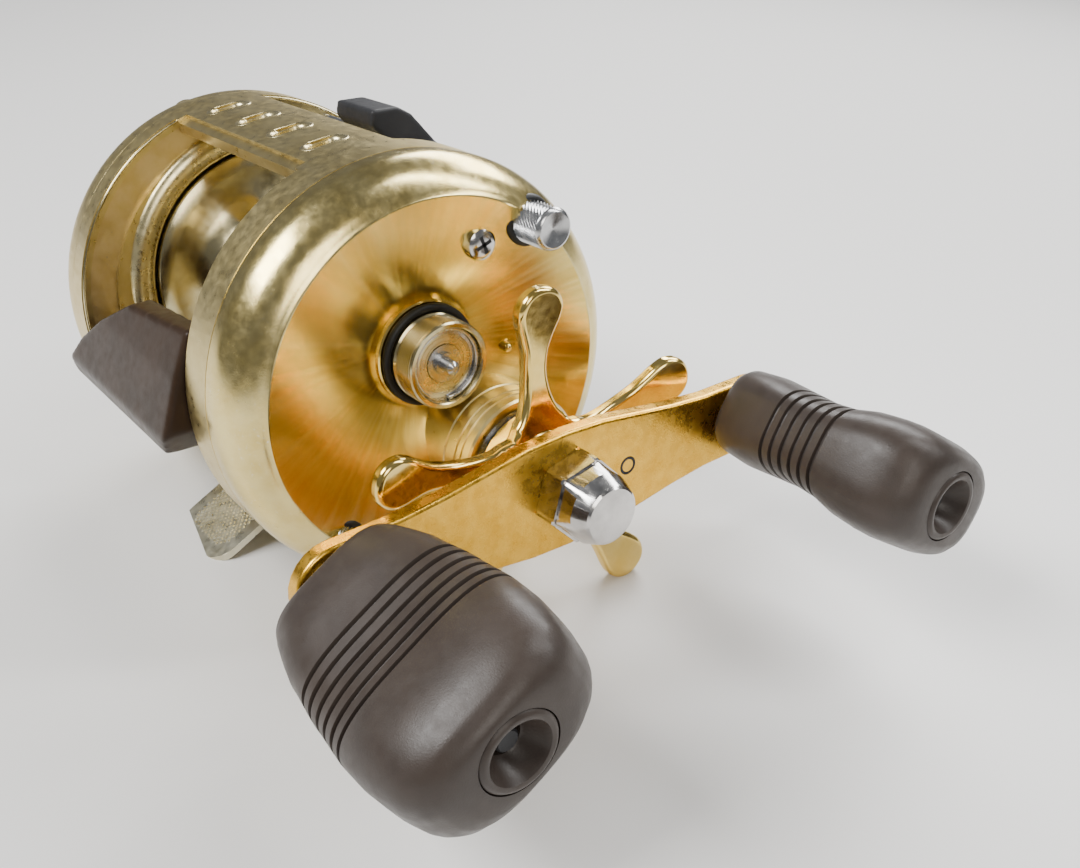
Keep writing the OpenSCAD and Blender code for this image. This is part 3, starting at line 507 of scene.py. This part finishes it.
# ------------------------------------------------------------------ spool
def spool_piece():
    """Flanges that curve into the arbor."""
    left, right = WINDOW
    prof = [(left - 1.2, 3.4), (left - 1.2, 18.2), (left - 1.0, 18.4), (left - 0.2, 18.4),
            (left + 0.1, 18.1), (left + 0.35, 16), (left + 0.9, 13.2), (left + 2.2, 11.0),
            (left + 4.2, 9.6), (left + 6.5, 9.0), (right - 6.5, 9.0), (right - 4.2, 9.6),
            (right - 2.2, 11.0), (right - 1.2, 13.2), (right - 0.95, 16), (right - 0.9, 18.1),
            (right - 0.75, 18.4), (right - 0.1, 18.4), (right + 0.1, 18.2), (right + 0.1, 3.4)]
    lathe("spool_body_shell", prof, *SPOOL, "spool", "spool_body", "champagne_metal",
          ("spool",), closed=False, segs=192, sharp=50)


def left_wall():
    """What the left wall shows inside the window: a rolled lip, a tan band and a bead."""
    face = WINDOW[0]
    lip = [(face - 0.69, 22.6), (face - 0.1, 22.55), (face + 0.45, 22.1), (face + 0.75, 21.3),
           (face + 0.8, 20.5), (face + 0.6, 19.8), (face + 0.1, 19.25), (face - 0.8, 19.02),
           (face - 3.2, 19.02)]
    lathe("left_wall_lip", lip, *SPOOL, "lip", "housing", "champagne_metal", (),
          closed=False, segs=192, sharp=60)
    band = [(face - 0.66, 22.4), (face - 0.66, 26.6), (face - 0.3, 26.75)]
    lathe("left_wall_band", band, 0, 0, "tan", "housing", "champagne_metal", (),
          closed=False, segs=192)
    bead_r, bead_wire = 27.65, 0.2
    bead = [(face + bead_wire * math.cos(TAU * i / 12), bead_r + bead_wire * math.sin(TAU * i / 12))
            for i in range(12)]
    lathe("left_wall_bead", bead, 0, 0, "spool", "housing", "champagne_metal", (), segs=192)


# ------------------------------------------------------------------ handle
def interpolate(points, x):
    """Value at x between (x, value) points, slightly eased."""
    for (xa, va), (xb, vb) in zip(points, points[1:]):
        if x <= xb:
            u = max(0.0, (x - xa) / (xb - xa))
            u = u * u * (3 - 2 * u) * 0.35 + u * 0.65
            return va + (vb - va) * u
    return points[-1][1]


def knob_piece(name, side, turn, body):
    """A power knob: a rounded rectangle that grows toward its end, with six grooves."""
    y0, z0 = DRIVE[0] + side * REACH, DRIVE[1]
    wide = [(22.8, 8.4), (26, 9.7), (30, 10.8), (36, 11.7), (42, 12.2), (46, 12.1), (49, 11.7),
            (51.5, 11.0), (53.3, 9.9), (54.5, 8.4), (55, 6.8)]
    thin = [(22.8, 5.4), (24, 6.2), (28, 6.5), (33, 6.2), (37, 6.0), (41, 6.3), (45, 7.3),
            (48.5, 7.6), (51, 7.4), (53.3, 6.8), (54.5, 5.9), (55, 5.1)]
    first, pitch, count = 33.6, 1.72, 6
    xs = [22.8, 22.95, 23.3, 24, 25, 26.5, 28, 30, 31.5, 32.8]
    for i in range(count):
        g = first + i * pitch
        xs += [g - 0.34, g - 0.2, g, g + 0.2, g + 0.34, g + 0.62]
    xs += [44.5, 46, 47.5, 49, 50.2, 51.3, 52.2, 53, 53.6, 54.1, 54.5, 54.8, 55.0]
    segs = 96
    start, end = KNOB
    a = math.radians(turn)
    bm = bmesh.new()
    rings = []
    for x in xs:
        w, t = interpolate(wide, x), interpolate(thin, x)
        for i in range(count):
            d = abs(x - (first + i * pitch))
            if d < 0.3:
                depth = 0.55 if d < 0.1 else 0.45
                w -= depth
                t -= depth
        inset = max(0, 0.5 * (start + 0.4 - x) / 0.4)
        w -= inset
        t -= inset
        p = 3.3 - max(0, 0.7 * (x - (end - 3)) / 3)
        ring = []
        for i in range(segs):
            q = TAU * i / segs
            c, s = math.cos(q), math.sin(q)
            u = math.copysign(abs(c) ** (2 / p), c) * w
            v = math.copysign(abs(s) ** (2 / p), s) * t
            ring.append(bm.verts.new(P(x, y0 + u * math.cos(a) - v * math.sin(a),
                                       z0 + u * math.sin(a) + v * math.cos(a))))
        rings.append(ring)
    hole_r = 4.62
    for hole_x in (end, end - 4.3):
        rings.append([bm.verts.new(P(hole_x, y0 + hole_r * math.cos(TAU * i / segs + a),
                                     z0 + hole_r * math.sin(TAU * i / segs + a)))
                      for i in range(segs)])
    for p0, p1 in zip(rings, rings[1:]):
        for i in range(segs):
            j = (i + 1) % segs
            bm.faces.new((p0[i], p0[j], p1[j], p1[i]))
    bm.faces.new(rings[0])
    bm.faces.new(rings[-1])
    finish_mesh(name + "_grip", bm, "knob", body, (name,), 42)
    cap = [(50.72, 0), (50.72, 4.5), (54.9, 4.5), (55.25, 4.2), (55.3, 3.9), (55.2, 3.55),
           (54.6, 3.2), (52.6, 2.2), (52.4, 1.9), (51.6, 1.8), (51.6, 0)]
    side_name = name.replace("knob_", "knob_cap_")
    lathe(side_name + "_ring", cap, y0, z0, "knob", body, "knob_plastic", (side_name,),
          closed=False, segs=72, sharp=40)
    # a black disc deep in the cap's hole: painted shade where the hole lies dark
    shaded_core = [(51.62, 0), (51.62, 1.3), (52.9, 1.3), (53.1, 1.1), (53.1, 0)]
    lathe(side_name + "_core", shaded_core, y0, z0, "black", body, "knob_plastic", (), closed=False,
          segs=48)


def nut_stretch(name, cone, flat, key, replaces):
    """A hexagon of half width flat, cut by a turned profile of (x, radius)."""
    y, z = DRIVE
    segs = 180
    bm = bmesh.new()
    rings = []
    for x, r in cone:
        ring = []
        for i in range(segs):
            q = TAU * i / segs
            across = (math.degrees(q) - 12) % 60 - 30
            rad = min(r, flat / math.cos(math.radians(across)))
            ring.append(bm.verts.new(P(x, y + rad * math.cos(q), z + rad * math.sin(q))))
        rings.append(ring)
    for a, b in zip(rings, rings[1:]):
        for i in range(segs):
            j = (i + 1) % segs
            bm.faces.new((a[i], a[j], b[j], b[i]))
    bm.faces.new(rings[0])
    bm.faces.new(rings[-1])
    finish_mesh(name, bm, key, "crank_body", replaces, 18)


def handle_pieces():
    y, z = DRIVE
    half = [(0.0, 8.2), (6, 7.9), (12, 7.0), (18, 6.1), (24, 5.5), (REACH, 5.4)]
    end = [(REACH + 5.4 * math.sin(math.radians(t)), 5.4 * math.cos(math.radians(t)))
           for t in range(15, 91, 15)]
    quarter = half + end
    top = [(-a, b) for a, b in reversed(quarter[1:])] + quarter
    outline = [(y + a, z + b) for a, b in top] + [(y + a, z - b) for a, b in reversed(top[1:-1])]
    bm = bmesh.new()
    slab(bm, outline, *ARM)
    bevel(finish_mesh("handle_arm", bm, "arm", "crank_body",
                      ("handle_plate",), 30), 0.55, 4)
    # small hole beside the nut, drawn as a black dish: painted shade in the hole
    lathe("arm_hole", [(21.45, 0), (21.62, 1.0), (21.68, 1.15), (21.62, 1.3), (21.5, 1.35)],
          y + 9.7, z, "black", "crank_body", "black_plastic", (), closed=False, segs=40)
    # nut: hexagon, then a head whose corners are turned down to a round end
    nut_stretch("nut_hex", [(21.65, 5.5), (21.9, 5.77), (24.9, 5.77), (25.2, 5.5)], 5.0, "chrome",
                ("handle_nut",))
    nut_stretch("nut_head", [(25.15, 5.0), (25.4, 5.3), (27.6, 4.75), (29.2, 4.1), (29.6, 3.9),
                             (29.85, 3.6), (29.9, 3.3)], 4.7, "chrome", ())
    for side, word in ((-1, "near"), (1, "far")):
        post = [(19.1, 0), (19.1, 2.2), (21.6, 2.2), (21.62, 3.4), (22.7, 3.4), (22.7, 2.0),
                (24, 2.0), (24, 0)]
        lathe("post_" + word, post, y + side * REACH, z, "chrome", "crank_body", "steel",
              ("knob_post_" + word,), closed=False, segs=64)
    knob_piece("knob_near", -1, 30, "near_knob_body")
    knob_piece("knob_far", 1, 146, "far_knob_body")


# ------------------------------------------------------------------ star drag
def star_piece():
    """Five spoon-ended arms, each dipping at its neck, round a hub."""
    y, z = DRIVE
    for i in range(5):
        turn = math.radians(90 + 72 * i)
        half = [(4.5, 4.6), (7.2, 4.1), (8.8, 2.9), (11, 2.05), (14, 1.65), (17, 1.8),
                (19.2, 2.4), (21.2, 3.1), (23, 3.3), (24.7, 2.5), (25.6, 1.0)]
        ring = half + [(a, -b) for a, b in reversed(half)]
        points = smooth_outline(ring, 4)
        bm = bmesh.new()
        flat = [(y + a * math.cos(turn) - b * math.sin(turn),
                 z + a * math.sin(turn) + b * math.cos(turn)) for a, b in points]
        slab(bm, flat, 14.5, 16.7)
        # each arm dips at its neck and lifts at its lobe
        for v in bm.verts:
            reach = (v.co - P(v.co.x * 1000 - SEAM[0], y, z)).length * 1000
            v.co.x += 0.0009 * math.cos(math.pi * (reach - 25.8) / 12) if reach > 7.8 else -0.0002
        arm = finish_mesh("star_arm_%d" % (i + 1), bm, "amber", "star_body",
                          ("star_drag",) if i == 0 else (), 30)
        bevel(arm, 1.0, 5, 40)
    hub = [(12.3, 3.3), (12.3, 7.4), (14.2, 7.1), (14.6, 6.9), (15.6, 6.6), (16.8, 6.2),
           (17.2, 5.7), (17.2, 3.3)]
    lathe("star_hub", hub, y, z, "amber", "star_body", "amber_metal", (), segs=96)


# ------------------------------------------------------------------ small parts
def knurled_screw(name, y, z, body):
    segs, rows, depth = 28, 8, 0.26
    x0, x1, r = 6.2, 11.2, 2.75
    bm = bmesh.new()
    rings = []
    for k in range(rows * 2 + 1):
        x = x0 + (x1 - x0) * k / (rows * 2)
        ring = []
        for i in range(segs * 2):
            rad = r if (i + k) % 2 == 0 else r - depth
            q = TAU * i / (segs * 2)
            ring.append(bm.verts.new(P(x, y + rad * math.cos(q), z + rad * math.sin(q))))
        rings.append(ring)
    for a, b in zip(rings, rings[1:]):
        n = len(a)
        for i in range(n):
            j = (i + 1) % n
            bm.faces.new((a[i], a[j], b[j]))
            bm.faces.new((a[i], b[j], b[i]))
    finish_mesh(name + "_knurl", bm, "steel", body, (name,), 8)
    top = [(11.15, 2.72), (11.35, 2.62), (11.62, 2.35), (11.68, 2.2), (11.1, 0.25), (11.1, 0)]
    lathe(name + "_top", top, y, z, "steel", body, "chrome_metal", (), closed=False, segs=64)
    base = [(6.25, 2.7), (6.1, 2.4), (5.9, 1.2), (3.5, 0.9), (3.5, 0)]
    lathe(name + "_neck", base, y, z, "chrome", body, "chrome_metal", (), closed=False, segs=48)


def screw_ring(name, y, z, replaces):
    x, r, wire = 5.95, 2.72, 0.62
    ring = [(x + wire * math.cos(TAU * i / 20), r + wire * math.sin(TAU * i / 20))
            for i in range(20)]
    lathe(name, ring, y, z, "rubber", "housing", "black_rubber", replaces, segs=72, sharp=60)


def bridge_rims():
    """A bright rolled edge round each oval hole of the bridge."""
    middle_x = sum(WINDOW) / 2
    middle_y = PLATE_R * math.cos(math.radians(97))
    pitch = (WINDOW[1] - WINDOW[0]) / 4
    for i in range(4):
        bm = bmesh.new()
        rings = []
        for half, r, lift in ((1.6, 1.72, -0.1), (1.6, 1.6, 0.05), (1.45, 1.45, 0.1),
                              (1.05, 1.3, -0.12), (0.85, 1.2, -0.45), (0.85, 1.2, -1.6)):
            ring = []
            for k in range(48):
                q = TAU * (k + 0.5) / 48
                y = middle_y + math.copysign(half, math.sin(q)) + r * math.sin(q)
                x = middle_x + (i - 1.5) * pitch + r * math.cos(q)
                z = math.sqrt(PLATE_R ** 2 - y * y) + lift
                ring.append(bm.verts.new(P(x, y, z)))
            rings.append(ring)
        for a, b in zip(rings, rings[1:]):
            for k in range(48):
                j = (k + 1) % 48
                bm.faces.new((a[k], a[j], b[j], b[k]))
        finish_mesh("bridge_rim_%d" % (i + 1), bm, "lip", "housing", (), 60)


def small_parts():
    screw_ring("screw_ring_upper", *UPPER_SCREW, ("screw_o_rings",))
    screw_ring("screw_ring_lower", *LOWER_SCREW, ())
    knurled_screw("thumbscrew_upper", *UPPER_SCREW, "upper_thumbscrew_body")
    knurled_screw("thumbscrew_lower", *LOWER_SCREW, "lower_thumbscrew_body")
    softened("index_pin", "amber", 0.05)
    head = [(3.9, 2.1), (4.9, 2.12), (5.3, 1.95), (5.55, 1.5), (5.65, 0.8), (5.66, 0)]
    lathe("cover_screw_head", head, *PLATE_SCREW, "chrome", "housing", "steel",
          ("cover_screw",), closed=False, segs=64)
    # the screw's cross recess is drawn as black slabs: painted shade in the recess
    y, z = PLATE_SCREW
    bm = bmesh.new()
    for turn in (20, 110):
        a = math.radians(turn)
        flat = [(y + u * math.cos(a) - v * math.sin(a), z + u * math.sin(a) + v * math.cos(a))
                for u, v in ((-1.15, -0.24), (1.15, -0.24), (1.15, 0.24), (-1.15, 0.24))]
        slab(bm, flat, 5.2, 5.69)
    finish_mesh("cover_screw_cross", bm, "black", "housing", ())
    bar = moulded("thumb_bar", "bar", 0.32, 14)
    # the moulding stands a little less proud than its CAD block
    root = -0.024
    for v in bar.data.vertices:
        if v.co.y < root:
            v.co.y = root + (v.co.y - root) * 0.88
    moulded("line_guide", "black", 0.28, 8)
    softened("reel_foot", "foot", 0.25, 3)
    softened("left_side_cover", "frame", 0.2, 2)
    softened("frame", "frame", 0.3, 3)


def foot_knurl():
    """Rows of small pyramids on the sloping top of both toes."""
    tip, top = (25.0, -29.4), (13.9, -23.98)
    slope = math.atan2(top[1] - tip[1], tip[0] - top[0])
    pitch, height, sunk = 0.95, 0.2, 0.03
    margin, knurled = 2.2, 8.0      # bare edge of a toe, and the knurl's length
    bm = bmesh.new()
    for side in (-1, 1):
        def on_toe(u, v, h):
            y = side * (tip[0] - v * math.cos(slope) + h * math.sin(slope))
            z = tip[1] + v * math.sin(slope) + h * math.cos(slope)
            return P(-SEAM[0] + u, y, z)
        rows = int(knurled / (pitch / 2))
        for j in range(rows):
            v = margin + j * pitch / 2
            shift = pitch / 2 if j % 2 else 0
            half = 5.6 if v > 4 else 3.2 + 0.6 * v
            for i in range(-8, 9):
                u = i * pitch + shift
                if abs(u) > half:
                    continue
                r = pitch * 0.46
                base = [bm.verts.new(on_toe(u + a * r, v + b * r, -sunk))
                        for a, b in ((1, 0), (0, 1), (-1, 0), (0, -1))]
                apex = bm.verts.new(on_toe(u, v, height))
                for k in range(4):
                    bm.faces.new((base[k], base[(k + 1) % 4], apex))
                bm.faces.new(base[::-1])
    finish_mesh("foot_knurl", bm, "foot", "housing", (), 10)


# ------------------------------------------------------------------ carried-over nodes
SLOT_KEYS = {"amber_metal": "amber", "champagne_metal": "frame", "chrome_metal": "chrome",
             "steel": "steel", "gear_brass": "brass", "black_rubber": "rubber",
             "black_plastic": "black", "knob_plastic": "knob", "white_plastic": "white"}


def dress_nodes():
    for part in frame["record"]["subparts"]:
        obj = frame["nodes"][part["node"]]
        m = material(SLOT_KEYS[part["material_slot"]])
        if not obj.data.materials:
            obj.data.materials.append(m)
        for s in obj.material_slots:
            s.material = m


def squash_springs():
    """Gives the yoke springs a mesh of their own."""
    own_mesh(frame["nodes"]["yoke_springs"])


make_camera()
make_stage()
dress_nodes()
cover_pieces()
spool_piece()
left_wall()
handle_pieces()
star_piece()
small_parts()
bridge_rims()
foot_knurl()
squash_springs()
